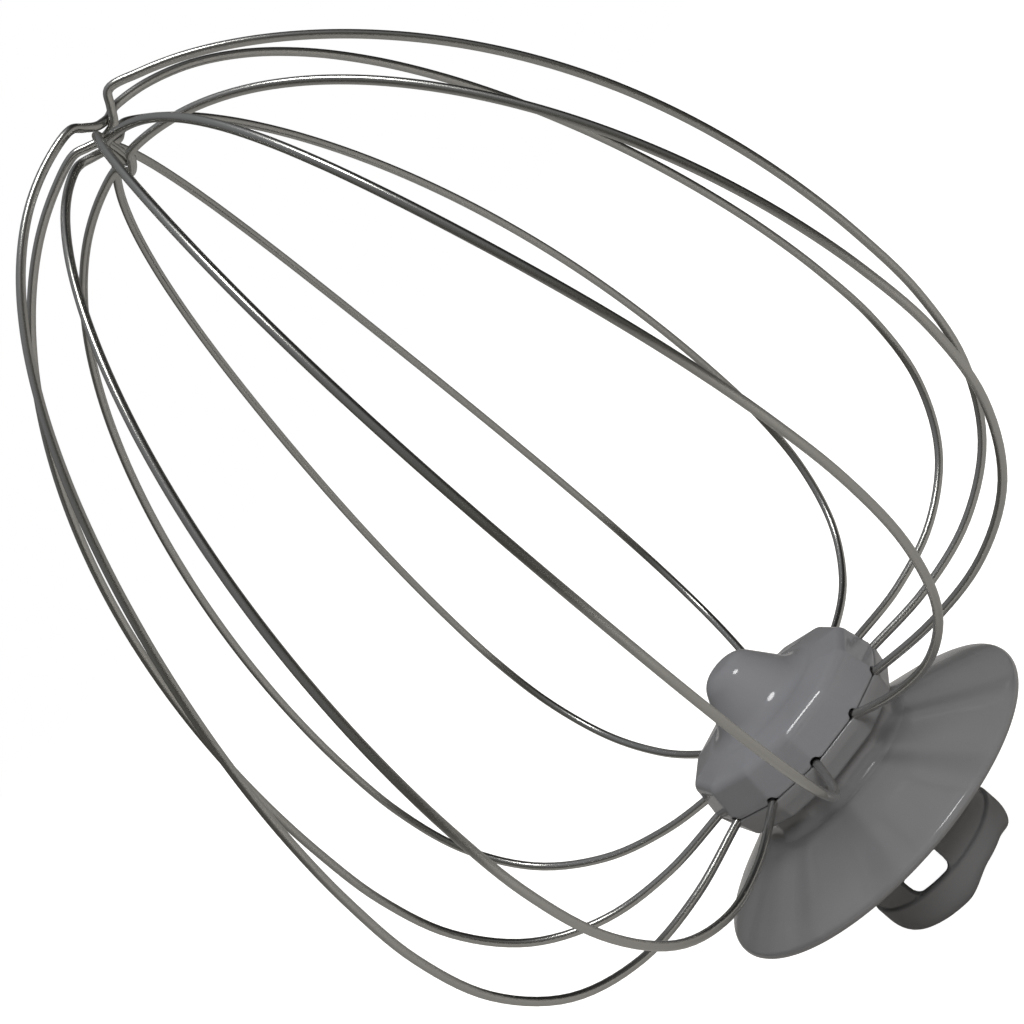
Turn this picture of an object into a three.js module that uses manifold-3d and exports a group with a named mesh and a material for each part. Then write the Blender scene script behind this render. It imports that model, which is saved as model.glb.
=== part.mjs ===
// A wire whip for a planetary stand mixer: six sprung wire loops clamped in a
// twelve-sided two-part hub, with a conical drip disc and a bayonet shaft socket.
//
// Frame: millimetres, +Z up. The whip stands on the open end of its shaft socket,
// which is the plane z = 0, and +Z runs along its axis to the tip of the balloon.
// Azimuths are in degrees, 0 towards -Y and 90 towards +X.

import * as THREE from 'three';
import { mergeVertices } from 'three/addons/utils/BufferGeometryUtils.js';
import Module from 'manifold-3d';

const wasm = await Module();
wasm.setup();

// ---------------------------------------------------------------- dimensions

const GAP = 0.3; // clearance between touching pieces
const PAST = 1; // how far a cut runs past the face that it cuts

// heights above the socket's open end
const BAND_TOP = 4.9; // plain ring below the bayonet windows
const WINDOW_TOP = 12.2;
const DISC_RIM_Z = 15.3; // middle of the disc's rounded rim
const SOCKET_TOP_Z = 19.9;
const DISC_TOP_Z = 21.7; // where the cone meets the hub
const PARTING_Z = 28.7; // plane in which the wires leave the hub

// shaft socket
const SOCKET_R = 10.5;
const SOCKET_EDGE = 0.9; // rounding of the open end's outer edge
const SOCKET_SIDES = 40;
const CHAMBER_R = 9; // room for the shaft's cross pin, from the open end to the windows' top
const BORE_R = 6.4;
const BORE_TOP = 17;
const WALL_RECESS = 0.4; // the wall above the band is a little slimmer
const WINDOW_FROM = -36; // azimuths of one window's ends; the other is opposite
const WINDOW_TO = 6;

// drip disc
const DISC_R = 25.7;
const DISC_T = 1.5;
const DISC_HUB_R = 13;
const DISC_SIDES = 60;

// hub
const SIDES = 12; // one side between every two wires
const HUB_R = 15; // over the corners at the parting plane
const CAP_WALL_R = 14.3;
const CAP_WALL_H = 4;
const CAP_EDGE = 1.5; // rounding of the cap's shoulder
const CAP_RISE = 0.7; // slope of the cap's top towards the nose
const NOSE_H = 13.3;
const NOSE_LEAN = 30; // taper of the nose's side, in degrees
const FLARE_X = 9.5; // centre and radius of the hollow rounding at the nose's foot
const FLARE_R = 3.7;
const DOME_X = 1.3; // the same for the rounding of its tip
const DOME_R = 3.2;
const BASE_WALL_H = 3.4;
const GROOVE_R = 12.2; // the base is slimmer between its wall and the disc
const GROOVE_FLARE = 1;

// wires
const WIRE_R = 0.575;
const WIRE_SIDES = 8;
const WIRE_SEAT_R = 9.5; // where a wire's end stops inside the hub
const CHANNEL_R = 0.9;

// balloon outline, as distance from the axis and height above the parting plane
const BALLOON_R = 54;
const BALLOON_WIDEST_H = 31;
const ROOT_R = 14.3;
const RIM_R = 4.4; // where each leg kinks into the knot at the tip
const RIM_H = 114.6;
const KNOT_X = -1.2; // the six wires cross in a pile that slants up towards +X
const KNOT_H = 109.8;
const KNOT_SLANT = 0.44; // from each wire of the pile to the next
const KNOT_PITCH = 1.25;
const ROOT_PULL = 6.3; // handle lengths of the two curves that make the outline
const BELLY_PULL = 34.9;
const FLANK_PULL = 39.5;
const CROWN_PULL = 24.4;
const CROWN_DROP = 2.8;
const LEG_SPANS = 18; // spans of the curve along one leg, shorter towards the tip
const SPAN_GROWTH = 1.25;
const STEPS_PER_SPAN = 2;
// From its kink a leg dips to the knot: shares of its reach from the axis, and of
// its height over the knot.
const DIP = [[0.65, 0.55], [0.3, 0.07]];

// Each loop runs from one side of the hub over the tip to the other side. Its two
// legs were bent by hand, so each departs from the balloon's outline a little, in
// millimetres: sideways, towards growing azimuth, by lean at the tip, sway at
// mid-length, wave in an S and lurch below the tip; outwards by swell at mid-length,
// hip in an S and crown below the tip; upwards by rise at the tip and sag at
// mid-length. turn is in degrees.
// level is the loop's place in the pile at the tip, from the lowest up.
const LOOPS = [
  {
    azimuth: 0,
    level: 2,
    near: {
      turn: 0.4, lean: -0.4, sway: -0.8, wave: -0.6, swell: -0.4,
      hip: 1, rise: 0.2, sag: 1.2, lurch: 0.8,
    },
    far: {
      turn: -0.5, lean: 1, sway: -0.4, wave: 0.4, swell: -0.2,
      hip: 0.2, rise: -0.2, sag: -0.6, lurch: -0.8,
    },
  },
  {
    azimuth: 30,
    level: 1,
    near: {
      turn: 0.4, lean: -3, sway: -0.6, wave: -3.4, swell: -2.4,
      hip: 2.2, rise: -1.2, sag: 1.6, lurch: 2.4,
    },
    far: {
      turn: 0.4, lean: -1, sway: -2.4, wave: -0.2, swell: -0.4,
      hip: -1.6, rise: -1.8, sag: 1.2, lurch: 0.4,
    },
  },
  {
    azimuth: 60,
    level: 0,
    near: {
      turn: 0.3, lean: -5.6, sway: 0.6, wave: -0.4, swell: -0.8, hip: -0.4,
      rise: -4.2, sag: 2.2, crown: -0.6, lurch: 2,
    },
    far: {
      lean: -2.2, sway: 1, wave: -1.4, swell: 1.2, hip: 0.6,
      rise: -2.8, sag: 0.8, crown: 0.4, lurch: 1.8,
    },
  },
  {
    azimuth: 90,
    level: 4,
    near: {
      turn: 0.2, lean: -0.6, wave: -0.2, swell: -0.6, hip: 1.6,
      rise: 3.4, sag: -0.6, crown: -1.2, lurch: -0.2,
    },
    far: {
      turn: -0.3, lean: 0.4, sway: 0.2, swell: -0.4, hip: 1.6,
      rise: 1.6, sag: -1.2, crown: 0.4,
    },
  },
  {
    azimuth: 120,
    level: 5,
    near: {
      turn: -2.2, lean: 1.6, sway: -0.4, wave: 0.6, swell: 0.2,
      rise: 2.2, sag: -4.2, crown: 1.8, lurch: -0.2,
    },
    far: {
      turn: 2.1, lean: 3.4, sway: -0.2, wave: 0.6, swell: 0.4,
      hip: -0.4, rise: 3, sag: -3.6, crown: 1.8, lurch: -0.6,
    },
  },
  {
    azimuth: 150,
    level: 3,
    near: {
      turn: -0.6, lean: 0.2, sway: -2, wave: 0.6, hip: 2,
      rise: 0.2, sag: -3.4, crown: -0.2, lurch: 0.4,
    },
    far: {
      lean: -2.8, sway: 0.2, wave: -1.4, swell: 1.2,
      hip: -1.6, sag: -1.4, lurch: 0.8,
    },
  },
];

const TRUE_LEG = {
  turn: 0, lean: 0, sway: 0, wave: 0, lurch: 0, swell: 0, hip: 0, crown: 0, rise: 0, sag: 0,
};

// ------------------------------------------------------------------- helpers

function radians(degrees) {
  return (degrees * Math.PI) / 180;
}

// Point at a distance r from the axis, shifted sideways by s, at a height z.
function polar(azimuth, r, s, z) {
  const a = radians(azimuth);
  return new THREE.Vector3(
    r * Math.sin(a) + s * Math.cos(a),
    -r * Math.cos(a) + s * Math.sin(a),
    z,
  );
}

// A closed geometry with only merged positions becomes a solid.
function solidFrom(geometry) {
  const bare = geometry.clone();
  for (const name of Object.keys(bare.attributes)) {
    if (name !== 'position') bare.deleteAttribute(name);
  }
  const merged = mergeVertices(bare, 1e-4);
  return new wasm.Manifold(new wasm.Mesh({
    numProp: 3,
    vertProperties: new Float32Array(merged.attributes.position.array),
    triVerts: new Uint32Array(merged.index.array),
  }));
}

function geometryFrom(solid) {
  const mesh = solid.getMesh();
  const geometry = new THREE.BufferGeometry();
  geometry.setAttribute('position', new THREE.BufferAttribute(mesh.vertProperties, 3));
  geometry.setIndex(new THREE.BufferAttribute(mesh.triVerts, 1));
  geometry.computeVertexNormals();
  return geometry;
}

// Body of revolution about +Z from (r, z) points that start and end on the axis,
// listed upwards. Corners of a coarse one fall on azimuths 0, 360/sides and so on.
function turned(profile, sides) {
  const points = profile.map(([r, z]) => new THREE.Vector2(r, z));
  return new THREE.LatheGeometry(points, sides).rotateX(Math.PI / 2);
}

// Points of a quarter-round edge about (cr, cz), from one angle to another.
function arc(cr, cz, radius, from, to, steps) {
  return Array.from({ length: steps + 1 }, (_, k) => {
    const a = radians(from + ((to - from) * k) / steps);
    return [cr + radius * Math.cos(a), cz + radius * Math.sin(a)];
  });
}

// A bar of round section lying along an azimuth from radius r0 to radius r1.
function radialBar(azimuth, r0, r1, radius, z) {
  const bar = new THREE.CylinderGeometry(radius, radius, r1 - r0, WIRE_SIDES);
  bar.translate(0, -(r0 + r1) / 2, z);
  bar.rotateZ(radians(azimuth));
  return bar;
}

// Wedge of a ring between two radii, two azimuths and two heights.
function ringWedge(r0, r1, from, to, z0, z1) {
  const shape = new THREE.Shape();
  const start = radians(from - 90);
  const end = radians(to - 90);
  shape.absarc(0, 0, r1, start, end, false);
  shape.absarc(0, 0, r0, end, start, true);
  const wedge = new THREE.ExtrudeGeometry(shape, {
    depth: z1 - z0,
    bevelEnabled: false,
    curveSegments: 8,
  });
  return wedge.translate(0, 0, z0);
}

// --------------------------------------------------------------- shaft socket

// One of the two windows in the wall through which the shaft's cross pin locks.
function pinWindow(turn) {
  const from = WINDOW_FROM + turn;
  const to = WINDOW_TO + turn;
  return ringWedge(CHAMBER_R - PAST, SOCKET_R + PAST, from, to, BAND_TOP, WINDOW_TOP);
}

function shaftSocket() {
  const wallR = SOCKET_R - WALL_RECESS;
  const body = solidFrom(turned([
    [0, BORE_TOP],
    [BORE_R, BORE_TOP],
    [BORE_R, WINDOW_TOP],
    [CHAMBER_R, WINDOW_TOP],
    [CHAMBER_R, 0],
    ...arc(SOCKET_R - SOCKET_EDGE, SOCKET_EDGE, SOCKET_EDGE, -90, 0, 3),
    [SOCKET_R, BAND_TOP],
    [wallR, BAND_TOP + WALL_RECESS],
    [wallR, SOCKET_TOP_Z],
    [0, SOCKET_TOP_Z],
  ], SOCKET_SIDES));
  const cuts = [pinWindow(0), pinWindow(180)];
  return geometryFrom(cuts.reduce((solid, cut) => solid.subtract(solidFrom(cut)), body));
}

// ------------------------------------------------------------------ drip disc

function dripDisc() {
  const edge = DISC_T / 2;
  const rimR = DISC_R - edge;
  return turned([
    [0, SOCKET_TOP_Z + GAP],
    [DISC_HUB_R - DISC_T, SOCKET_TOP_Z + GAP],
    ...arc(rimR, DISC_RIM_Z, edge, -115, 60, 7),
    [DISC_HUB_R, DISC_TOP_Z - GAP / 2],
    [0, DISC_TOP_Z - GAP / 2],
  ], DISC_SIDES);
}

// ------------------------------------------------------------------------ hub

// Cuts the six wires' half-round seats, two ends each, at the parting plane.
function withChannels(solid) {
  let cut = solid;
  for (let side = 0; side < SIDES; side += 1) {
    const azimuth = (360 / SIDES) * side;
    const bar = radialBar(azimuth, WIRE_SEAT_R - GAP, HUB_R + PAST, CHANNEL_R, PARTING_Z);
    cut = cut.subtract(solidFrom(bar));
  }
  return cut;
}

function hubCap() {
  const bottom = PARTING_Z + GAP / 2;
  const shoulderZ = PARTING_Z + CAP_WALL_H;
  const crown = shoulderZ + CAP_EDGE;
  const tipZ = PARTING_Z + NOSE_H;
  const body = turned([
    [0, bottom],
    [HUB_R, bottom],
    ...arc(CAP_WALL_R - CAP_EDGE, shoulderZ, CAP_EDGE, 0, 80, 4),
    [FLARE_X, crown + CAP_RISE],
    [0, crown + CAP_RISE],
  ], SIDES);
  const nose = turned([
    [0, shoulderZ],
    [FLARE_X, crown],
    ...arc(FLARE_X, crown + CAP_RISE + FLARE_R, FLARE_R, -95, NOSE_LEAN - 180, 4),
    ...arc(DOME_X, tipZ - DOME_R, DOME_R, NOSE_LEAN, 90, 4),
    [0, tipZ],
  ], 3 * SIDES);
  return geometryFrom(withChannels(solidFrom(body).add(solidFrom(nose))));
}

function hubBase() {
  const top = PARTING_Z - GAP / 2;
  const wallFoot = PARTING_Z - BASE_WALL_H;
  const body = turned([
    [0, DISC_TOP_Z + GAP / 2],
    [DISC_HUB_R, DISC_TOP_Z + GAP / 2],
    [GROOVE_R, DISC_TOP_Z + GROOVE_FLARE],
    [GROOVE_R, wallFoot - GROOVE_FLARE],
    [CAP_WALL_R, wallFoot],
    [HUB_R, top],
    [0, top],
  ], SIDES);
  return geometryFrom(withChannels(solidFrom(body)));
}

// ---------------------------------------------------------------------- wires

// Outline of the balloon in (r, h): from the rim at the tip, s = 0, over the
// widest place to the root in the hub, s = 1.
const outline = new THREE.CurvePath();
outline.add(new THREE.CubicBezierCurve(
  new THREE.Vector2(RIM_R, RIM_H),
  new THREE.Vector2(RIM_R + CROWN_PULL, RIM_H - CROWN_DROP),
  new THREE.Vector2(BALLOON_R, BALLOON_WIDEST_H + FLANK_PULL),
  new THREE.Vector2(BALLOON_R, BALLOON_WIDEST_H),
));
outline.add(new THREE.CubicBezierCurve(
  new THREE.Vector2(BALLOON_R, BALLOON_WIDEST_H),
  new THREE.Vector2(BALLOON_R, BALLOON_WIDEST_H - BELLY_PULL),
  new THREE.Vector2(ROOT_R + ROOT_PULL, 0),
  new THREE.Vector2(ROOT_R, 0),
));

function legPoint(azimuth, leg, s) {
  const place = outline.getPointAt(s);
  const tip = (1 - s) ** 2;
  const belly = Math.sin(Math.PI * s);
  const wave = Math.sin(2 * Math.PI * s);
  const shoulder = 15 * s * (1 - s) ** 5; // peaks a sixth of the way down
  const side = leg.lean * tip + leg.sway * belly + leg.wave * wave + leg.lurch * shoulder;
  const out = leg.swell * belly + leg.hip * wave + leg.crown * shoulder;
  const up = leg.rise * tip + leg.sag * belly + leg.crown * shoulder;
  const turn = leg.turn * (1 - s ** 8); // the hub holds the root true
  return polar(azimuth + turn, place.x + out, side, PARTING_Z + place.y + up);
}

function knotPoint(level) {
  const height = KNOT_H + KNOT_PITCH * level;
  return new THREE.Vector3(KNOT_X + KNOT_SLANT * level, 0, PARTING_Z + height);
}

// Points of one leg from its seat in the hub to just short of the knot.
function legPoints(azimuth, leg, knot) {
  const points = [polar(azimuth, WIRE_SEAT_R, 0, PARTING_Z)];
  for (let k = LEG_SPANS; k >= 0; k -= 1) {
    points.push(legPoint(azimuth, leg, (k / LEG_SPANS) ** SPAN_GROWTH));
  }
  const rim = points[points.length - 1];
  for (const [reach, lift] of DIP) {
    const place = knot.clone().lerp(rim, reach);
    place.z = THREE.MathUtils.lerp(knot.z, rim.z, lift);
    points.push(place);
  }
  return points;
}

// Steps are even from point to point instead of by length, so that the short
// spans at the tip get as many as the long ones.
class WirePath extends THREE.CatmullRomCurve3 {
  getPointAt(u, target) {
    return this.getPoint(u, target);
  }

  getTangentAt(u, target) {
    return this.getTangent(u, target);
  }

  getSpacedPoints(divisions) {
    return this.getPoints(divisions);
  }
}

function wireLoop({ azimuth, level, near, far }) {
  const knot = knotPoint(level);
  const points = [
    ...legPoints(azimuth, { ...TRUE_LEG, ...near }, knot),
    knot,
    ...legPoints(azimuth + 180, { ...TRUE_LEG, ...far }, knot).reverse(),
  ];
  const section = new THREE.Shape(Array.from({ length: WIRE_SIDES }, (_, k) => {
    const a = radians((360 / WIRE_SIDES) * (k + 0.5));
    return new THREE.Vector2(WIRE_R * Math.cos(a), WIRE_R * Math.sin(a));
  }));
  return new THREE.ExtrudeGeometry(section, {
    extrudePath: new WirePath(points, false, 'centripetal'),
    steps: STEPS_PER_SPAN * (points.length - 1),
  });
}

// ------------------------------------------------------------------- assembly

const PLASTIC = { color: 0x7c7f85, roughness: 0.25, metalness: 0 };
const STEEL = { color: 0xc4c4c2, roughness: 0.15, metalness: 1 };

function part(name, geometry, finish) {
  const mesh = new THREE.Mesh(geometry, new THREE.MeshStandardMaterial(finish));
  mesh.name = name;
  return mesh;
}

const whip = new THREE.Group();
whip.add(part('shaft_socket', shaftSocket(), PLASTIC));
whip.add(part('drip_disc', dripDisc(), PLASTIC));
whip.add(part('hub_base', hubBase(), PLASTIC));
whip.add(part('hub_cap', hubCap(), PLASTIC));
LOOPS.forEach((loop, k) => {
  whip.add(part(`wire_loop_${k + 1}`, wireLoop(loop), STEEL));
});

export default whip;
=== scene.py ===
"""A wire whip for a stand mixer: six polished wire loops in a glossy grey plastic hub.

Metres, +Z up. The whip stands on its shaft socket's open end, the plane z = 0, and its
axis is the Z axis. Azimuths are in degrees, 0 towards -Y and 90 towards +X. Dimensions
are in millimetres until a piece is made.
"""

import math

import bmesh
import bpy
from mathutils import Matrix, Vector
from mathutils.geometry import interpolate_bezier


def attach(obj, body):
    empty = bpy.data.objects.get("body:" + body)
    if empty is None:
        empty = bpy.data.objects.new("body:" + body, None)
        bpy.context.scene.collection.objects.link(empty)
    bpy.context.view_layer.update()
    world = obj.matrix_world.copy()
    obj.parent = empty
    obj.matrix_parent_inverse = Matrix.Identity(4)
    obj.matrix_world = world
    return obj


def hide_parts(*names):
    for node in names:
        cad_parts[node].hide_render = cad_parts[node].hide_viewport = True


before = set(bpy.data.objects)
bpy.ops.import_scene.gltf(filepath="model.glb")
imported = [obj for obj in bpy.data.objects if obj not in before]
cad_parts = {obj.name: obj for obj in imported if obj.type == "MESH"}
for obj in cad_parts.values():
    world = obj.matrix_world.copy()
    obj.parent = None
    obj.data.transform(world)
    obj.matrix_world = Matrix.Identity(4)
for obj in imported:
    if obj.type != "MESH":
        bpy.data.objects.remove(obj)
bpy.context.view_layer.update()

MM = 0.001
BODY = "root"
WHITE = (1, 1, 1)
TINY = 1e-6

# ---------------------------------------------------------------- dimensions, mm

# heights above the socket's open end
BAND_TOP = 4.9
WINDOW_TOP = 12.2
DISC_RIM_Z = 15.3
SOCKET_TOP_Z = 19.9
DISC_TOP_Z = 21.7
PARTING_Z = 28.7

SEAM = 0.03  # half the hairline gap between two pieces
EDGE = 0.25  # rounding of the moulded edges
EDGE_MIDDLE = 0.3 * EDGE  # how far in the middle of such a rounding lies

SOCKET_R = 10.5
SOCKET_EDGE = 1.2
SOCKET_EDGE_H = 2.6  # the rounding is higher than it is deep
CHAMBER_R = 9  # room for the shaft's cross pin
BORE_R = 6.4
BORE_TOP = 17
WALL_RECESS = 0.6
SOCKET_STEP = 2  # degrees from column to column
WINDOW_FROM = -32  # azimuths of a window's ends; the second window is opposite
WINDOW_TO = 6
WINDOW_CORNER = 1.3
NOTCH_AZIMUTH = 37  # middle of a shallow notch in the open end; the other is opposite
NOTCH_HALF = 10  # degrees to each side at full height, then the ramp
NOTCH_RAMP = 34
NOTCH_H = 1.3

DISC_R = 25.7
DISC_T = 1.5
DISC_HUB_R = 13
DISC_SIDES = 192
CONE_STEPS = 12

SIDES = 12
HUB_R = 15  # over the corners at the parting plane
CAP_WALL_R = 14.3
CAP_WALL_H = 4
CAP_EDGE = 1.5
CAP_RISE = 0.7
CAP_WALL_STEPS = 10
CAP_TOP_SHARES = (0.3, 0.6, 0.85)  # rings of the cap's top, from twelve-sided to round
NOSE_H = 13.3  # tip of the nose above the parting plane
NOSE_LEAN = 30  # taper of the nose's side, in degrees
FLARE_X = 9.5  # centre of the hollow round the nose's foot, from the axis
FLARE_R = 3.7
DOME_X = 1.3  # centre of the rounding at the nose's tip, from the axis
DOME_R = 3.2
BASE_WALL_H = 3.4
GROOVE_R = 11.7
GROOVE_FLARE = 1
FOOT_FILLET = 2.4  # the base runs out softly onto the disc
FOOT_SINK = 0.57  # how far the fillet's circle reaches below the base's underside
BASE_FOOT_R = 12.4  # flat underside of the base, inside the fillet
ARCH_R = 0.76  # notches in the cap over the wires
SEAT_R = 0.65  # grooves in the base under the wires

WIRE_R = 0.575
WIRE_SEAT_R = 9.5  # where a wire ends inside the hub
SEAT_PLAY = 0.2  # how far a groove goes on past the end of its wire
WIRE_SIDES = 20
WIRE_STEPS = 7  # rings in each span of a wire's curve

# The balloon's outline, two Bezier curves. Its heights are above the parting plane.
BALLOON_R = 54
BALLOON_WIDEST_H = 31
ROOT_R = 14.3
RIM_R = 4.4  # rim of the dimple at the tip
RIM_H = 114.6
ROOT_PULL = 6.3  # a pull is how far a curve's handle reaches
BELLY_PULL = 34.9
FLANK_PULL = 39.5
CROWN_PULL = 24.4
CROWN_DROP = 2.8
OUTLINE_STEPS = 400

# The knot, where the loops cross in a pile at the tip
KNOT_X = -1.2
KNOT_H = 109.8
KNOT_SLANT = 0.44  # sideways shift from level to level
KNOT_PITCH = 1.25  # rise from level to level
DIP = ((0.65, 0.55), (0.3, 0.07))  # share of the way out and of the rise, knot to rim

LEG_SPANS = 18
SPAN_GROWTH = 1.25  # above 1, a leg's points crowd towards its tip
SHOULDER_SCALE = 15  # makes the shoulder's peak about 1
TURN_FADE = 8  # a leg's turn fades out only close to the hub
STREAK_RATE = 0.03  # texture per mm along a wire, small so that its streaks are long

# Each loop's azimuth, its level in the pile at the tip, and how its two legs depart
# from the balloon's outline, in mm and, for turn, in degrees. Nearly all of the amounts
# were fitted to the bends of the wires in the photo and then rounded.
LOOPS = (
    (0, 2, {"turn": 0.4, "lean": -0.4, "sway": -0.8, "wave": -0.6, "swell": -0.4,
            "hip": 1, "rise": 0.2, "sag": 1.2, "lurch": 0.8},
     {"turn": -0.5, "lean": 1, "sway": -0.4, "wave": 0.4, "swell": -0.2,
      "hip": 0.2, "rise": -0.2, "sag": -0.6, "lurch": -0.8}),
    (30, 1, {"turn": 0.4, "lean": -3, "sway": -0.6, "wave": -3.4, "swell": -2.4,
             "hip": 2.2, "rise": -1.2, "sag": 1.6, "lurch": 2.4},
     {"turn": 0.4, "lean": -1, "sway": -2.4, "wave": -0.2, "swell": -0.4,
      "hip": -1.6, "rise": -1.8, "sag": 1.2, "lurch": 0.4}),
    (60, 0, {"turn": 0.3, "lean": -5.6, "sway": 0.6, "wave": -0.4, "swell": -0.8, "hip": -0.4,
             "rise": -4.2, "sag": 2.2, "crown": -0.6, "lurch": 2},
     {"lean": -2.2, "sway": 1, "wave": -1.4, "swell": 1.2, "hip": 0.6,
      "rise": -2.8, "sag": 0.8, "crown": 0.4, "lurch": 1.8}),
    (90, 4, {"turn": 0.2, "lean": -0.6, "wave": -0.2, "swell": -0.6, "hip": 1.6,
             "rise": 3.4, "sag": -0.6, "crown": -1.2, "lurch": -0.2},
     {"turn": -0.3, "lean": 0.4, "sway": 0.2, "swell": -0.4, "hip": 1.6,
      "rise": 1.6, "sag": -1.2, "crown": 0.4}),
    (120, 5, {"turn": -2.2, "lean": 1.6, "sway": -0.4, "wave": 0.6, "swell": 0.2,
              "rise": 2.2, "sag": -4.2, "crown": 1.8, "lurch": -0.2},
     {"turn": 2.1, "lean": 3.4, "sway": -0.2, "wave": 0.6, "swell": 0.4,
      "hip": -0.4, "rise": 3, "sag": -3.6, "crown": 1.8, "lurch": -0.6}),
    (150, 3, {"turn": -0.6, "lean": 0.2, "sway": -2, "wave": 0.6, "hip": 2,
              "rise": 0.2, "sag": -3.4, "crown": -0.2, "lurch": 0.4},
     {"lean": -2.8, "sway": 0.2, "wave": -1.4, "swell": 1.2,
      "hip": -1.6, "sag": -1.4, "lurch": 0.8}),
)

# ------------------------------------------------------------------------ camera

SENSOR = 36
LENS = 69.4
CAMERA_PLACE = (20.6, -246.8, 106.6)
CAMERA_TARGET = (-2.45, -0.23, 75.4)
CAMERA_ROLL = 49.2  # degrees


def make_camera():
    """Close to the object, above the hub, and rolled so that the whip leans."""
    data = bpy.data.cameras.new("camera")
    data.sensor_width = SENSOR
    data.lens = LENS
    data.clip_start = 0.01
    data.clip_end = 20
    camera = bpy.data.objects.new("camera", data)
    bpy.context.scene.collection.objects.link(camera)
    place = Vector(CAMERA_PLACE) * MM
    target = Vector(CAMERA_TARGET) * MM
    roll = math.radians(CAMERA_ROLL)
    look = (target - place).to_track_quat("-Z", "Y")
    camera.matrix_world = (
        Matrix.Translation(place) @ look.to_matrix().to_4x4() @ Matrix.Rotation(-roll, 4, "Z")
    )
    bpy.context.scene.camera = camera


make_camera()

# --------------------------------------------------------------------- materials


def new_material(name):
    material = bpy.data.materials.new(name)
    material.use_nodes = True
    tree = material.node_tree
    return material, tree, tree.nodes["Principled BSDF"]


def add_node(tree, kind, **inputs):
    """A new node with its inputs set by name."""
    node = tree.nodes.new(kind)
    for name, value in inputs.items():
        node.inputs[name.replace("_", " ")].default_value = value
    return node


def add_noise(tree, vector, scale, detail):
    noise = add_node(tree, "ShaderNodeTexNoise", Scale=scale, Detail=detail)
    tree.links.new(vector, noise.inputs["Vector"])
    return noise.outputs["Fac"]


def add_range(tree, value, low, high):
    """Maps a noise from 0.3 to 0.7 to a range from low to high."""
    spread = add_node(tree, "ShaderNodeMapRange", From_Min=0.3, From_Max=0.7, To_Min=low, To_Max=high)
    tree.links.new(value, spread.inputs["Value"])
    return spread.outputs["Result"]


def add_mix(tree, factor, low, high):
    """Blend from a colour, or the output of a node, to another colour."""
    mix = tree.nodes.new("ShaderNodeMix")
    mix.data_type = "RGBA"
    if isinstance(low, tuple):
        mix.inputs["A"].default_value = (*low, 1)
    else:
        tree.links.new(low, mix.inputs["A"])
    mix.inputs["B"].default_value = (*high, 1)
    tree.links.new(factor, mix.inputs["Factor"])
    return mix.outputs["Result"]


def add_bump(tree, height, distance, strength, shader):
    bump = add_node(tree, "ShaderNodeBump", Distance=distance, Strength=strength)
    tree.links.new(height, bump.inputs["Height"])
    tree.links.new(bump.outputs["Normal"], shader.inputs["Normal"])


def grey_plastic(name, low, high):
    """Glossy moulded plastic: faint clouding, uneven gloss and a slight orange peel."""
    material, tree, shader = new_material(name)
    place = tree.nodes.new("ShaderNodeTexCoord").outputs["Object"]
    clouds = add_noise(tree, place, scale=60, detail=3)
    tint = add_mix(tree, clouds, low, high)
    tree.links.new(tint, shader.inputs["Base Color"])
    gloss = add_noise(tree, place, scale=240, detail=4)
    tree.links.new(add_range(tree, gloss, low=0.08, high=0.15), shader.inputs["Roughness"])
    peel = add_noise(tree, place, scale=700, detail=2)
    add_bump(tree, peel, distance=0.00004, strength=0.25, shader=shader)
    shader.inputs["IOR"].default_value = 1.5
    return material


def steel_wire():
    """Drawn stainless wire: fine streaks along its length, in colour, gloss and relief."""
    material, tree, shader = new_material("steel_wire")
    around = add_node(tree, "ShaderNodeAttribute")
    around.attribute_name = "along_wire"
    streaks = add_noise(tree, around.outputs["Vector"], scale=1.8, detail=3)
    tint = add_mix(tree, streaks, low=(0.42, 0.415, 0.39), high=(0.56, 0.555, 0.53))
    tree.links.new(tint, shader.inputs["Base Color"])
    tree.links.new(add_range(tree, streaks, low=0.19, high=0.27), shader.inputs["Roughness"])
    add_bump(tree, streaks, distance=0.00002, strength=0.04, shader=shader)
    shader.inputs["Metallic"].default_value = 1
    return material


HUB_PLASTIC = grey_plastic("hub_plastic", low=(0.225, 0.225, 0.237), high=(0.258, 0.258, 0.268))
# The disc, the base and the socket get a darker copy of the hub's plastic: painted shade for the
# shading that the hub and the wires throw on them
SHADED_PLASTIC = grey_plastic("shaded_plastic", low=(0.2, 0.198, 0.2), high=(0.232, 0.23, 0.232))
STEEL = steel_wire()

# ----------------------------------------------------------------------- helpers


def polar(azimuth, r, side, z):
    """Point at r from the axis, shifted sideways towards growing azimuth, in mm."""
    a = math.radians(azimuth)
    return Vector((
        r * math.sin(a) + side * math.cos(a),
        -r * math.cos(a) + side * math.sin(a),
        z,
    ))


def lerp(a, b, t):
    return a + (b - a) * t


def arc(centre_r, centre_z, radius, start, end, steps):
    """Points (r, z) of a rounding, from one angle in degrees to another."""
    angles = [math.radians(lerp(start, end, k / steps)) for k in range(steps + 1)]
    return [(centre_r + radius * math.cos(a), centre_z + radius * math.sin(a)) for a in angles]


def loft(bm, rings):
    """Closed skin over rings of points. The first and the last ring are single points."""
    skin = [[bm.verts.new(point) for point in ring] for ring in rings]
    for low, high in zip(skin, skin[1:]):
        for k in range(max(len(low), len(high))):
            n = k + 1
            near = (low[k % len(low)], low[n % len(low)])
            far = (high[n % len(high)], high[k % len(high)])
            bm.faces.new(dict.fromkeys((*near, *far)))


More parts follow.
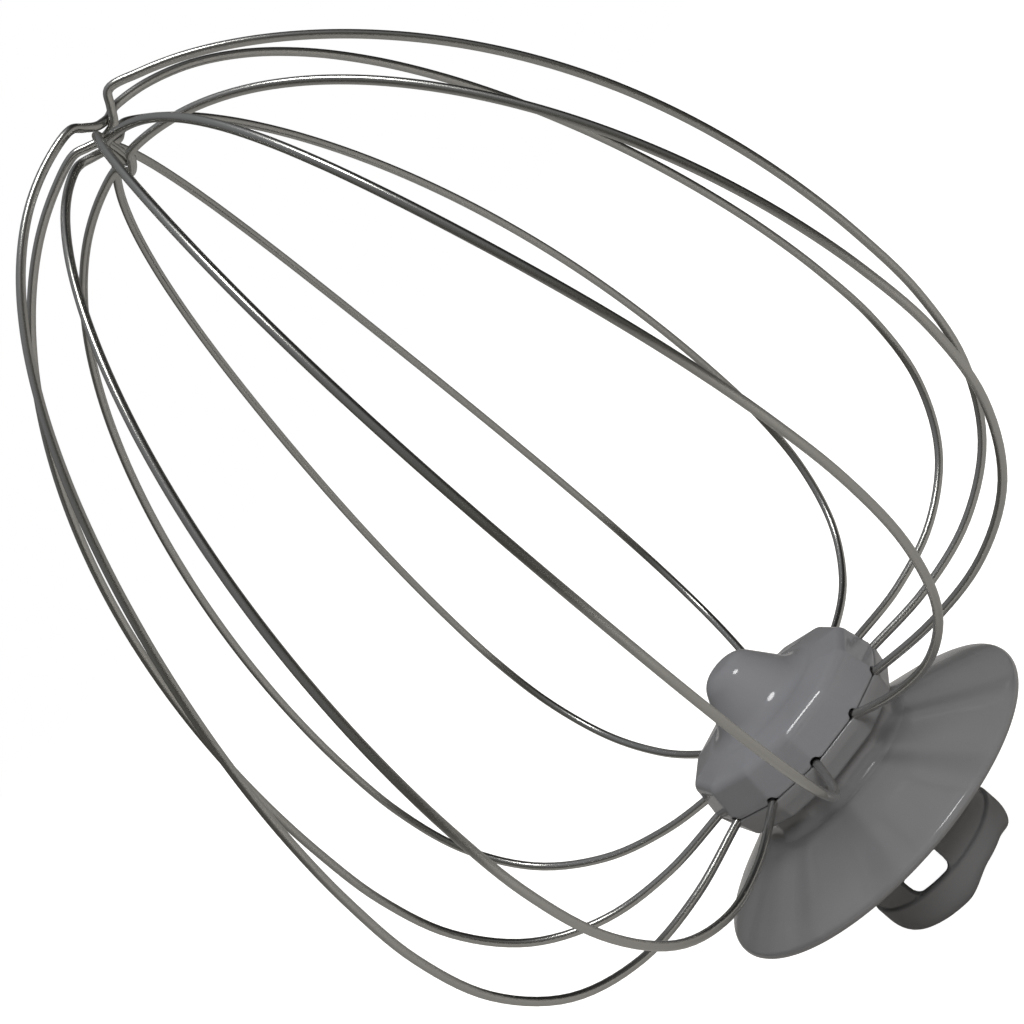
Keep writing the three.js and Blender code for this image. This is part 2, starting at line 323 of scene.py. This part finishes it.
def add_piece(name, bm, material, slot, *replaced):
    """Turns a bmesh in mm into a piece of the whip that stands for CAD nodes."""
    bmesh.ops.recalc_face_normals(bm, faces=bm.faces)
    bmesh.ops.scale(bm, vec=(MM, MM, MM), verts=bm.verts)
    mesh = bpy.data.meshes.new(name)
    bm.to_mesh(mesh)
    bm.free()
    mesh.polygons.foreach_set("use_smooth", [True] * len(mesh.polygons))
    mesh.materials.append(material)
    piece = bpy.data.objects.new(name, mesh)
    bpy.context.scene.collection.objects.link(piece)
    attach(piece, BODY)
    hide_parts(*replaced)
    return piece


# --------------------------------------------------------------------------- hub

CORNER_STEPS = 14  # columns from a corner of the hub to the middle of its side
CORNER_CROWDING = 1.6  # columns crowd towards the corners, where the notches are
CORNER_SHARPNESS = 170  # the higher, the crisper a corner


def hub_azimuths():
    """Azimuths of the hub's columns, each with its angle from the nearest corner."""
    columns = []
    for corner in range(SIDES):
        for j in range(-CORNER_STEPS, CORNER_STEPS):
            share = j / CORNER_STEPS
            off = math.copysign(abs(share) ** CORNER_CROWDING, share) * 180 / SIDES
            columns.append((corner * 360 / SIDES + off, math.radians(off)))
    return columns


def facet_share(off):
    """Radius of a twelve-sided outline with soft corners, at an angle from a corner."""
    half = math.pi / SIDES
    sides = (-3 * half, -half, half, 3 * half)
    total = sum(max(0, math.cos(off - side)) ** CORNER_SHARPNESS for side in sides)
    return math.cos(half) * total ** (-1 / CORNER_SHARPNESS)


HUB_COLUMNS = [(azimuth, off, facet_share(off)) for azimuth, off in hub_azimuths()]


def hub_ring(r, z, facets=1.0):
    """Ring of radius r over its corners. With facets at 0 it is round."""
    return [polar(azimuth, r * lerp(1, share, facets), 0, z) for azimuth, _, share in HUB_COLUMNS]


def half_round(radius, r, off):
    """Height of a half-round groove along the corner's azimuth, at a point beside it."""
    side = r * math.sin(off)
    if r < WIRE_SEAT_R - SEAT_PLAY or abs(side) >= radius:
        return 0.0
    return math.sqrt(radius**2 - side**2)


def grooved_ring(r, z, radius):
    """Ring on a joint face with half-round grooves, above it for a positive radius."""
    ring = []
    for azimuth, off, share in HUB_COLUMNS:
        depth = math.copysign(half_round(abs(radius), r * share, off), radius)
        ring.append(polar(azimuth, r * share, 0, z + depth))
    return ring


def wall_ring(share_up, r_low, r_high, z_low, z_high, radius):
    """Ring of a wall whose lower edge arches over the grooves."""
    ring = []
    for azimuth, off, share in HUB_COLUMNS:
        start = z_low + half_round(radius, r_low * share, off)
        z = lerp(start, z_high, share_up)
        r = lerp(r_low, r_high, (z - z_low) / (z_high - z_low))
        ring.append(polar(azimuth, r * share, 0, z))
    return ring


JOINT_RADII = (WIRE_SEAT_R - 2 * SEAT_PLAY, WIRE_SEAT_R, 11, 12.6, 14)


def make_hub_cap():
    bottom = PARTING_Z + SEAM
    shoulder = PARTING_Z + CAP_WALL_H
    crown = shoulder + CAP_EDGE
    rings = [[Vector((0, 0, bottom))]]
    rings += [grooved_ring(r, bottom, ARCH_R) for r in JOINT_RADII]
    rings.append(grooved_ring(HUB_R - EDGE, bottom, ARCH_R))
    rings.append(grooved_ring(HUB_R - EDGE_MIDDLE, bottom + EDGE_MIDDLE, ARCH_R))
    for k in range(CAP_WALL_STEPS + 1):
        share = k / CAP_WALL_STEPS
        rings.append(wall_ring(share, HUB_R, CAP_WALL_R, bottom + EDGE, shoulder, ARCH_R))
    edge = arc(CAP_WALL_R - CAP_EDGE, shoulder, CAP_EDGE, start=8, end=80, steps=9)
    rings += [hub_ring(r, z) for r, z in edge]
    for share in CAP_TOP_SHARES:
        r = lerp(CAP_WALL_R - CAP_EDGE, FLARE_X, share)
        rings.append(hub_ring(r, lerp(crown, crown + CAP_RISE, share), 1 - share))
    flare_z = crown + CAP_RISE + FLARE_R
    dome_z = PARTING_Z + NOSE_H - DOME_R
    flare = arc(FLARE_X, flare_z, FLARE_R, start=-92, end=NOSE_LEAN - 180, steps=14)
    dome = arc(DOME_X, dome_z, DOME_R, start=NOSE_LEAN, end=90, steps=14)
    rings += [hub_ring(r, z, 0) for r, z in flare + dome]
    rings.append([Vector((0, 0, PARTING_Z + NOSE_H))])
    bm = bmesh.new()
    loft(bm, rings)
    add_piece("cap", bm, HUB_PLASTIC, "grey_plastic", "hub_cap")


def make_hub_base():
    top = PARTING_Z - SEAM
    foot = DISC_TOP_Z + SEAM
    wall_foot = PARTING_Z - BASE_WALL_H
    fillet_r = GROOVE_R + FOOT_FILLET
    fillet_z = foot + FOOT_FILLET - FOOT_SINK
    fillet = arc(fillet_r, fillet_z, FOOT_FILLET, start=-114, end=-180, steps=9)
    neck_r = GROOVE_R + GROOVE_FLARE
    neck_z = wall_foot - GROOVE_FLARE
    neck = arc(neck_r, neck_z, GROOVE_FLARE, start=180, end=100, steps=5)
    lip_edge = 2 * EDGE
    lip = arc(CAP_WALL_R - lip_edge, wall_foot + lip_edge, lip_edge, start=-80, end=0, steps=5)
    rings = [[Vector((0, 0, foot))], hub_ring(BASE_FOOT_R, foot, 0)]
    rings += [hub_ring(r, z, k / len(fillet)) for k, (r, z) in enumerate(fillet)]
    rings += [hub_ring(r, z) for r, z in neck + lip]
    rings.append(hub_ring(lerp(CAP_WALL_R, HUB_R, 0.5), lerp(wall_foot, top, 0.55)))
    brim = arc(HUB_R - EDGE, top - EDGE, EDGE, start=0, end=60, steps=3)
    rings += [hub_ring(r, z) for r, z in brim]
    rings.append(grooved_ring(HUB_R - EDGE, top, -SEAT_R))
    rings += [grooved_ring(r, top, -SEAT_R) for r in reversed(JOINT_RADII)]
    rings.append([Vector((0, 0, top))])
    bm = bmesh.new()
    loft(bm, rings)
    add_piece("base", bm, SHADED_PLASTIC, "grey_plastic", "hub_base")


make_hub_cap()
make_hub_base()

# --------------------------------------------------------------------- drip disc


def make_drip_disc():
    edge = DISC_T / 2
    bottom = SOCKET_TOP_Z + SEAM
    top = DISC_TOP_Z - SEAM
    profile = [
        (DISC_HUB_R - DISC_T, bottom),
        *arc(DISC_R - edge, DISC_RIM_Z, edge, start=-115, end=60, steps=16),
    ]
    for k in range(1, CONE_STEPS + 1):
        share = k / CONE_STEPS
        r = lerp(DISC_R - edge / 2, DISC_HUB_R, share)
        profile.append((r, lerp(DISC_RIM_Z + edge, top, share)))
    azimuths = [360 * k / DISC_SIDES for k in range(DISC_SIDES)]
    rings = [[Vector((0, 0, bottom))]]
    rings += [[polar(azimuth, r, 0, z) for azimuth in azimuths] for r, z in profile]
    rings.append([Vector((0, 0, top))])
    bm = bmesh.new()
    loft(bm, rings)
    add_piece("disc", bm, SHADED_PLASTIC, "grey_plastic", "drip_disc")


make_drip_disc()

# ------------------------------------------------------------------ shaft socket

# heights of the rows of faces beside the windows
SOCKET_ROWS = (BAND_TOP, 5.6, 6.4, 7.6, 8.8, 10, 10.8, 11.5, WINDOW_TOP)


def smooth(t):
    """Soft step from 0 to 1."""
    t = min(max(t, 0), 1)
    return t * t * (3 - 2 * t)


def notched(azimuth, z):
    """Height of a point of the band, which is cut away a little at its two notches."""
    off = abs((azimuth - NOTCH_AZIMUTH + 90) % 180 - 90)
    lift = NOTCH_H * smooth((NOTCH_HALF + NOTCH_RAMP - off) / NOTCH_RAMP)
    return z + lift * max(0, 1 - z / (BAND_TOP - WALL_RECESS))


def window_place(azimuth, z):
    """Moves a point on a window's square border to its rounded border, else leaves it."""
    half_w = math.radians(WINDOW_TO - WINDOW_FROM) / 2 * SOCKET_R
    half_h = (WINDOW_TOP - BAND_TOP) / 2
    middle = (WINDOW_FROM + WINDOW_TO) / 2
    off = (azimuth - middle + 90) % 180 - 90
    u = math.radians(off) * SOCKET_R
    v = z - (BAND_TOP + half_h)
    past_u = abs(u) - (half_w - WINDOW_CORNER)
    past_v = abs(v) - (half_h - WINDOW_CORNER)
    on_border = abs(abs(u) - half_w) < TINY or abs(abs(v) - half_h) < TINY
    inside = abs(u) < half_w + TINY and abs(v) < half_h + TINY
    if not (on_border and inside and past_u > 0 and past_v > 0):
        return azimuth, z
    pull = WINDOW_CORNER / math.hypot(past_u, past_v)
    moved_u = math.copysign(half_w - WINDOW_CORNER + past_u * pull, u)
    moved_v = math.copysign(half_h - WINDOW_CORNER + past_v * pull, v)
    shift = math.degrees((moved_u - u) / SOCKET_R)
    return azimuth + shift, BAND_TOP + half_h + moved_v


def in_window(azimuth):
    """Whether the column from this azimuth to the next lies in one of the windows."""
    width = WINDOW_TO - WINDOW_FROM
    return (azimuth - WINDOW_FROM) % 180 < width - TINY


def make_shaft_socket():
    """One skin, down the bore to the open end and up the wall, cut at the windows."""
    wall_r = SOCKET_R - WALL_RECESS
    edge = arc(SOCKET_R - SOCKET_EDGE, SOCKET_EDGE, SOCKET_EDGE, start=-90, end=0, steps=8)
    azimuths = [WINDOW_FROM + SOCKET_STEP * k for k in range(360 // SOCKET_STEP)]
    inner = [
        (CHAMBER_R, EDGE),
        (CHAMBER_R, BAND_TOP - WALL_RECESS),
        *((CHAMBER_R, z) for z in SOCKET_ROWS),
        (BORE_R, WINDOW_TOP),
        (BORE_R, BORE_TOP),
    ]
    outer = [
        *((r, z * SOCKET_EDGE_H / SOCKET_EDGE) for r, z in edge),
        (SOCKET_R, BAND_TOP - EDGE),
        (SOCKET_R - EDGE, BAND_TOP - EDGE_MIDDLE),
        *((wall_r, z) for z in SOCKET_ROWS),
        (wall_r, SOCKET_TOP_Z - SEAM),
    ]
    mouth = (CHAMBER_R + EDGE, 0)
    profile = [*reversed(inner), mouth, *outer]
    bm = bmesh.new()

    def ring(r, z):
        places = [window_place(azimuth, z) for azimuth in azimuths]
        return [bm.verts.new(polar(a, r, 0, notched(a, h))) for a, h in places]

    skins = [ring(r, z) for r, z in profile]
    first_inner = profile.index((CHAMBER_R, BAND_TOP))
    first_outer = profile.index((wall_r, BAND_TOP))
    span = len(SOCKET_ROWS) - 1
    last_inner = first_inner - span
    last_outer = first_outer + span
    open_rows = {*range(last_inner, first_inner), *range(first_outer, last_outer)}
    for row, (low, high) in enumerate(zip(skins, skins[1:])):
        for k, azimuth in enumerate(azimuths):
            n = (k + 1) % len(azimuths)
            if row in open_rows and in_window(azimuth):
                continue
            bm.faces.new((low[k], low[n], high[n], high[k]))
    for end in (skins[0], skins[-1]):
        bm.faces.new(end)
    for row in range(span):
        outer_low, outer_high = skins[first_outer + row], skins[first_outer + row + 1]
        inner_low, inner_high = skins[first_inner - row], skins[first_inner - row - 1]
        for k, azimuth in enumerate(azimuths):
            before = azimuths[k - 1]
            if in_window(azimuth) != in_window(before):
                bm.faces.new((outer_low[k], outer_high[k], inner_high[k], inner_low[k]))
    for outer_row, inner_row in ((first_outer, first_inner), (last_outer, last_inner)):
        for k, azimuth in enumerate(azimuths):
            if in_window(azimuth):
                n = (k + 1) % len(azimuths)
                a, b = skins[outer_row], skins[inner_row]
                bm.faces.new((a[k], a[n], b[n], b[k]))
    piece = add_piece("socket", bm, SHADED_PLASTIC, "grey_plastic", "shaft_socket")
    bevel = piece.modifiers.new("moulded_edges", "BEVEL")
    bevel.width = EDGE * MM
    bevel.segments = 3
    bevel.limit_method = "ANGLE"
    bevel.angle_limit = math.radians(50)


make_shaft_socket()

# ------------------------------------------------------------------------- wires


def outline_points():
    """The balloon's outline from the rim at the tip to the root in the hub."""
    wide = Vector((BALLOON_R, BALLOON_WIDEST_H, 0))
    rim = Vector((RIM_R, RIM_H, 0))
    root = Vector((ROOT_R, 0, 0))
    crown = rim + Vector((CROWN_PULL, -CROWN_DROP, 0))
    flank = wide + Vector((0, FLANK_PULL, 0))
    belly = wide - Vector((0, BELLY_PULL, 0))
    throat = root + Vector((ROOT_PULL, 0, 0))
    upper = interpolate_bezier(rim, crown, flank, wide, OUTLINE_STEPS)
    lower = interpolate_bezier(wide, belly, throat, root, OUTLINE_STEPS)
    return upper + lower[1:]


def along(points, s):
    """Point at the fraction s of a polyline's length."""
    lengths = [0.0]
    for a, b in zip(points, points[1:]):
        lengths.append(lengths[-1] + (b - a).length)
    goal = s * lengths[-1]
    for k in range(1, len(points)):
        if lengths[k] >= goal:
            part = (goal - lengths[k - 1]) / (lengths[k] - lengths[k - 1])
            return points[k - 1].lerp(points[k], part)
    return points[-1]


OUTLINE = outline_points()
SHARES = [(k / LEG_SPANS) ** SPAN_GROWTH for k in range(LEG_SPANS + 1)]
STATIONS = [along(OUTLINE, s) for s in SHARES]
TRUE_LEG = dict.fromkeys(
    ("turn", "lean", "sway", "wave", "lurch", "swell", "hip", "crown", "rise", "sag"), 0)


def leg_point(azimuth, leg, s, place):
    """Point of a leg at the share s of its way down from the rim, with its departures."""
    tip = (1 - s) ** 2
    belly = math.sin(math.pi * s)
    wave = math.sin(2 * math.pi * s)
    shoulder = SHOULDER_SCALE * s * (1 - s) ** 5  # peaks a sixth of the way down
    side = leg["lean"] * tip + leg["sway"] * belly + leg["wave"] * wave + leg["lurch"] * shoulder
    out = leg["swell"] * belly + leg["hip"] * wave + leg["crown"] * shoulder
    up = leg["rise"] * tip + leg["sag"] * belly + leg["crown"] * shoulder
    turn = leg["turn"] * (1 - s**TURN_FADE)
    return polar(azimuth + turn, place.x + out, side, PARTING_Z + place.y + up)


def leg_points(azimuth, bends, knot):
    """Points of one leg from its seat in the hub to just short of the knot."""
    leg = TRUE_LEG | bends
    points = [polar(azimuth, WIRE_SEAT_R, 0, PARTING_Z)]
    for s, place in zip(reversed(SHARES), reversed(STATIONS)):
        points.append(leg_point(azimuth, leg, s, place))
    rim = points[-1]
    for reach, lift in DIP:
        place = knot.lerp(rim, reach)
        place.z = lerp(knot.z, rim.z, lift)
        points.append(place)
    return points


def smooth_path(points, steps):
    """Centripetal Catmull-Rom curve through the points, with steps in each span."""
    first = points[0] * 2 - points[1]
    last = points[-1] * 2 - points[-2]
    p = [first, *points, last]
    path = []
    for k in range(1, len(p) - 2):
        a, b, c = (max((p[k + j] - p[k + j - 1]).length, TINY) ** 0.5 for j in range(3))
        start = p[k + 1] - p[k] + b * ((p[k] - p[k - 1]) / a - (p[k + 1] - p[k - 1]) / (a + b))
        end = p[k + 1] - p[k] + b * ((p[k + 2] - p[k + 1]) / c - (p[k + 2] - p[k]) / (b + c))
        for j in range(steps):
            t = j / steps
            path.append(
                p[k] * (2 * t**3 - 3 * t**2 + 1) + start * (t**3 - 2 * t**2 + t)
                + p[k + 1] * (3 * t**2 - 2 * t**3) + end * (t**3 - t**2)
            )
    path.append(points[-1].copy())
    return path


def tube(bm, path, radius, sides):
    """A closed round tube along a path, without twist. Points keep their place on it."""
    layer = bm.verts.layers.float_vector.new("along_wire")
    tangent = (path[1] - path[0]).normalized()
    normal = tangent.orthogonal().normalized()
    travelled = 0.0
    rings = []
    for k, place in enumerate(path):
        travelled += (place - path[max(k - 1, 0)]).length
        new = (path[min(k + 1, len(path) - 1)] - path[max(k - 1, 0)]).normalized()
        normal.rotate(tangent.rotation_difference(new))
        tangent = new
        across = tangent.cross(normal)
        ring = []
        for j in range(sides):
            a = 2 * math.pi * j / sides
            vert = bm.verts.new(place + radius * (math.cos(a) * normal + math.sin(a) * across))
            vert[layer] = (math.cos(a), math.sin(a), STREAK_RATE * travelled)
            ring.append(vert)
        rings.append(ring)
    for low, high in zip(rings, rings[1:]):
        for j in range(sides):
            n = (j + 1) % sides
            bm.faces.new((low[j], low[n], high[n], high[j]))
    bm.faces.new(rings[0])
    bm.faces.new(rings[-1])


def make_wire_loops():
    for k, (azimuth, level, near, far) in enumerate(LOOPS, 1):
        knot = Vector((KNOT_X + KNOT_SLANT * level, 0, PARTING_Z + KNOT_H + KNOT_PITCH * level))
        points = [
            *leg_points(azimuth, near, knot),
            knot,
            *reversed(leg_points(azimuth + 180, far, knot)),
        ]
        bm = bmesh.new()
        tube(bm, smooth_path(points, WIRE_STEPS), WIRE_R, WIRE_SIDES)
        add_piece(f"wire_{k}", bm, STEEL, "steel_wire", f"wire_loop_{k}")


make_wire_loops()

# ------------------------------------------------------------------ floor, lights

HUB_MIDDLE = Vector((0, 0, 33)) * MM
FLOOR_COLOR = (0.55, 0.53, 0.5)
FLOOR_GLOW = 1  # seen by the camera only
ROOM_WALL = (0.085, 0.082, 0.072)
ROOM_CEILING = (0.3, 0.31, 0.33)
ROOM_DARK = (0.03, 0.03, 0.03)


def make_floor():
    """A white table that looks evenly lit from the camera."""
    mesh = bpy.data.meshes.new("floor")
    bm = bmesh.new()
    bmesh.ops.create_grid(bm, x_segments=1, y_segments=1, size=4)
    bm.to_mesh(mesh)
    bm.free()
    material, tree, shader = new_material("floor")
    shader.inputs["Base Color"].default_value = (*FLOOR_COLOR, 1)
    shader.inputs["Roughness"].default_value = 0.9
    shader.inputs["Emission Color"].default_value = (*WHITE, 1)
    path = tree.nodes.new("ShaderNodeLightPath")
    glow = add_node(tree, "ShaderNodeMapRange", To_Max=FLOOR_GLOW)
    tree.links.new(path.outputs["Is Camera Ray"], glow.inputs["Value"])
    tree.links.new(glow.outputs["Result"], shader.inputs["Emission Strength"])
    mesh.materials.append(material)
    floor = bpy.data.objects.new("floor", mesh)
    bpy.context.scene.collection.objects.link(floor)


def direction(azimuth, elevation):
    """Unit vector towards an azimuth and elevation in degrees."""
    a = math.radians(azimuth)
    e = math.radians(elevation)
    return Vector((math.sin(a) * math.cos(e), -math.cos(a) * math.cos(e), math.sin(e)))


def make_light(name, azimuth, elevation, distance, size, power, glossy=True):
    """A round soft light that faces the hub. Without glossy it is never mirrored."""
    place = HUB_MIDDLE + direction(azimuth, elevation) * distance
    data = bpy.data.lights.new(name, "AREA")
    data.shape = "DISK"
    data.size = size
    data.energy = power
    lamp = bpy.data.objects.new(name, data)
    lamp.location = place
    lamp.rotation_mode = "QUATERNION"
    lamp.rotation_quaternion = (HUB_MIDDLE - place).to_track_quat("-Z", "Y")
    lamp.visible_glossy = glossy
    bpy.context.scene.collection.objects.link(lamp)


def add_patch(tree, place, azimuth, elevation, near, far):
    """1 around a direction, fading to 0 from one angle in degrees to another."""
    dot = tree.nodes.new("ShaderNodeVectorMath")
    dot.operation = "DOT_PRODUCT"
    dot.inputs[1].default_value = direction(azimuth, elevation)
    tree.links.new(place, dot.inputs[0])
    outer = math.cos(math.radians(far))
    inner = math.cos(math.radians(near))
    fade = add_node(tree, "ShaderNodeMapRange", From_Min=outer, From_Max=inner)
    fade.interpolation_type = "SMOOTHSTEP"
    tree.links.new(dot.outputs["Value"], fade.inputs["Value"])
    return fade.outputs["Result"]


def make_world():
    """White behind the whip. What it mirrors is a dim room with a paler ceiling."""
    world = bpy.data.worlds.new("studio")
    world.use_nodes = True
    tree = world.node_tree
    place = tree.nodes.new("ShaderNodeTexCoord").outputs["Generated"]
    parts = tree.nodes.new("ShaderNodeSeparateXYZ")
    tree.links.new(place, parts.inputs["Vector"])
    height = add_node(tree, "ShaderNodeMapRange", From_Min=0.1, From_Max=1)
    tree.links.new(parts.outputs["Z"], height.inputs["Value"])
    room = add_mix(tree, height.outputs["Result"], ROOM_WALL, ROOM_CEILING)
    patch = add_patch(tree, place, azimuth=110, elevation=20, near=15, far=50)
    mirrored = add_mix(tree, patch, room, ROOM_DARK)
    path = tree.nodes.new("ShaderNodeLightPath")
    sky = add_mix(tree, path.outputs["Is Camera Ray"], mirrored, WHITE)
    tree.links.new(sky, tree.nodes["Background"].inputs["Color"])
    bpy.context.scene.world = world


make_floor()
make_world()
make_light("top", azimuth=42, elevation=64, distance=0.6, size=0.17, power=1.0)
make_light("back", azimuth=205, elevation=38, distance=1.0, size=0.4, power=2.2, glossy=False)
make_light("front", azimuth=22, elevation=30, distance=1.0, size=0.26, power=4.1, glossy=False)
bpy.context.scene.view_settings.view_transform = "Standard"
